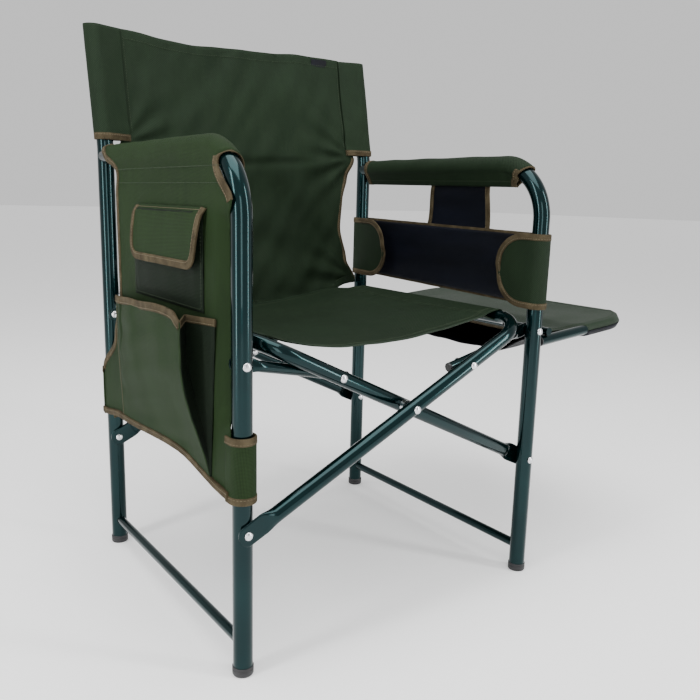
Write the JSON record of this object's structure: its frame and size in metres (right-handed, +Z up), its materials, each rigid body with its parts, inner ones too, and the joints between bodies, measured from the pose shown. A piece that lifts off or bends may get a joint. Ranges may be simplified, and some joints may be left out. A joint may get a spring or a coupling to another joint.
{
  "type": "folding camp chair",
  "caption": "Folding camp chair with a steel tube scissor frame, cloth seat and back, a side organiser with pockets and a hinged cloth side table.",
  "frame": {"origin": "on the floor, in the middle of the chair's bounding box, with the chair open", "axes": "+Z up, the sitter faces -Y, the side table is at +X and the organiser at -X"},
  "size_m": [0.805, 0.5242, 0.8386],
  "materials": {
    "enamel": "deep teal-green gloss enamel",
    "rivet_steel": "bright domed rivet heads",
    "black_plastic": "moulded feet, caps and plugs",
    "green_cloth": "dark green coated polyester weave",
    "olive_cloth": "olive green coated polyester weave",
    "dark_lining": "black coated lining cloth",
    "tan_binding": "tan-brown binding tape with stitches"
  },
  "bodies": {
    "pocket_side_frame": {"pocket_arm_tube": "enamel", "pocket_rear_post": "enamel", "pocket_arm_connector": "rivet_steel", "pocket_stretcher": "enamel", "pocket_front_foot": "black_plastic", "pocket_rear_foot": "black_plastic", "pocket_post_cap": "black_plastic", "pocket_front_lower_rivet": "rivet_steel", "pocket_rear_lower_rivet": "rivet_steel", "pocket_front_upper_rivet": "rivet_steel", "pocket_rear_upper_rivet": "rivet_steel", "back_pocket_half": "green_cloth", "pocket_side_panel": "olive_cloth", "small_pocket": "olive_cloth", "large_pocket": "olive_cloth"},
    "cross_a": {"cross_frame_a": "enamel", "front_centre_rivet": "rivet_steel", "rear_centre_rivet": "rivet_steel", "table_front_link_rivet": "rivet_steel", "table_rear_link_rivet": "rivet_steel", "seat_table_half": "green_cloth"},
    "cross_b": {"cross_frame_b": "enamel", "pocket_front_link_rivet": "rivet_steel", "pocket_rear_link_rivet": "rivet_steel", "seat_pocket_half": "green_cloth"},
    "table_side_frame": {"table_arm_tube": "enamel", "table_rear_post": "enamel", "table_arm_connector": "rivet_steel", "table_stretcher": "enamel", "table_front_foot": "black_plastic", "table_rear_foot": "black_plastic", "table_post_cap": "black_plastic", "table_front_lower_rivet": "rivet_steel", "table_rear_lower_rivet": "rivet_steel", "table_front_upper_rivet": "rivet_steel", "table_rear_upper_rivet": "rivet_steel", "table_front_bracket": "enamel", "table_rear_bracket": "enamel", "table_arm_sleeve": "green_cloth", "table_side_band": "dark_lining", "table_side_tab": "dark_lining", "back_table_half": "green_cloth"},
    "side_table": {"table_frame_tube": "enamel", "table_hinge_rail": "enamel", "table_front_plug": "black_plastic", "table_rear_plug": "black_plastic", "table_cover": "green_cloth"},
    "pocket_flap": {"small_pocket_flap": "olive_cloth"},
    "pocket_front_link_body": {"pocket_front_link": "enamel", "pocket_front_link_plug": "black_plastic", "pocket_front_link_rivet_tail": "rivet_steel"},
    "pocket_rear_link_body": {"pocket_rear_link": "enamel", "pocket_rear_link_plug": "black_plastic", "pocket_rear_link_rivet_tail": "rivet_steel"},
    "table_front_link_body": {"table_front_link": "enamel", "table_front_link_plug": "black_plastic", "table_front_link_rivet_tail": "rivet_steel"},
    "table_rear_link_body": {"table_rear_link": "enamel", "table_rear_link_plug": "black_plastic", "table_rear_link_rivet_tail": "rivet_steel"}
  },
  "joints": [
    {"name": "fold", "type": "hinge", "parent": "pocket_side_frame", "child": "cross_a", "pos_m": [-0.34826, -0.01198, 0.189], "axis": [0, -1, 0], "range_deg": [0, 31.17], "deforming": ["seat_table_half", "seat_pocket_half", "back_table_half", "back_pocket_half"]},
    {"name": "cross_pivot", "type": "hinge", "parent": "cross_a", "child": "cross_b", "pos_m": [-0.09826, -0.01198, 0.31], "axis": [0, -1, 0], "range_deg": [-62.35, 0]},
    {"name": "table_side_pivot", "type": "hinge", "parent": "cross_b", "child": "table_side_frame", "pos_m": [0.15174, -0.01198, 0.189], "axis": [0, -1, 0], "range_deg": [0, 31.18]},
    {"name": "pocket_front_link_pivot", "type": "hinge", "parent": "pocket_side_frame", "child": "pocket_front_link_body", "pos_m": [-0.34826, -0.01198, 0.394], "axis": [0, -1, 0], "range_deg": [0, 67.08]},
    {"name": "pocket_rear_link_pivot", "type": "hinge", "parent": "pocket_side_frame", "child": "pocket_rear_link_body", "pos_m": [-0.34826, -0.01198, 0.394], "axis": [0, -1, 0], "range_deg": [0, 67.08]},
    {"name": "table_front_link_pivot", "type": "hinge", "parent": "table_side_frame", "child": "table_front_link_body", "pos_m": [0.15174, -0.01198, 0.394], "axis": [0, -1, 0], "range_deg": [-67.08, 0]},
    {"name": "table_rear_link_pivot", "type": "hinge", "parent": "table_side_frame", "child": "table_rear_link_body", "pos_m": [0.15174, -0.01198, 0.394], "axis": [0, -1, 0], "range_deg": [-67.08, 0]},
    {"name": "table_hinge", "type": "hinge", "parent": "table_side_frame", "child": "side_table", "pos_m": [0.17874, -0.01198, 0.391], "axis": [0, -1, 0], "range_deg": [0, 85]},
    {"name": "flap_hinge", "type": "hinge", "parent": "pocket_side_frame", "child": "pocket_flap", "pos_m": [-0.36836, -0.01198, 0.572], "axis": [0, 1, 0], "range_deg": [0, 120]}
  ],
  "couplings": [
    {"joint": "cross_pivot", "follows": "fold", "ratio": -2},
    {"joint": "table_side_pivot", "follows": "fold", "ratio": 1},
    {"joint": "pocket_front_link_pivot", "follows": "fold", "ratio": 2.1519},
    {"joint": "pocket_rear_link_pivot", "follows": "fold", "ratio": 2.1519},
    {"joint": "table_front_link_pivot", "follows": "fold", "ratio": -2.1519},
    {"joint": "table_rear_link_pivot", "follows": "fold", "ratio": -2.1519}
  ]
}
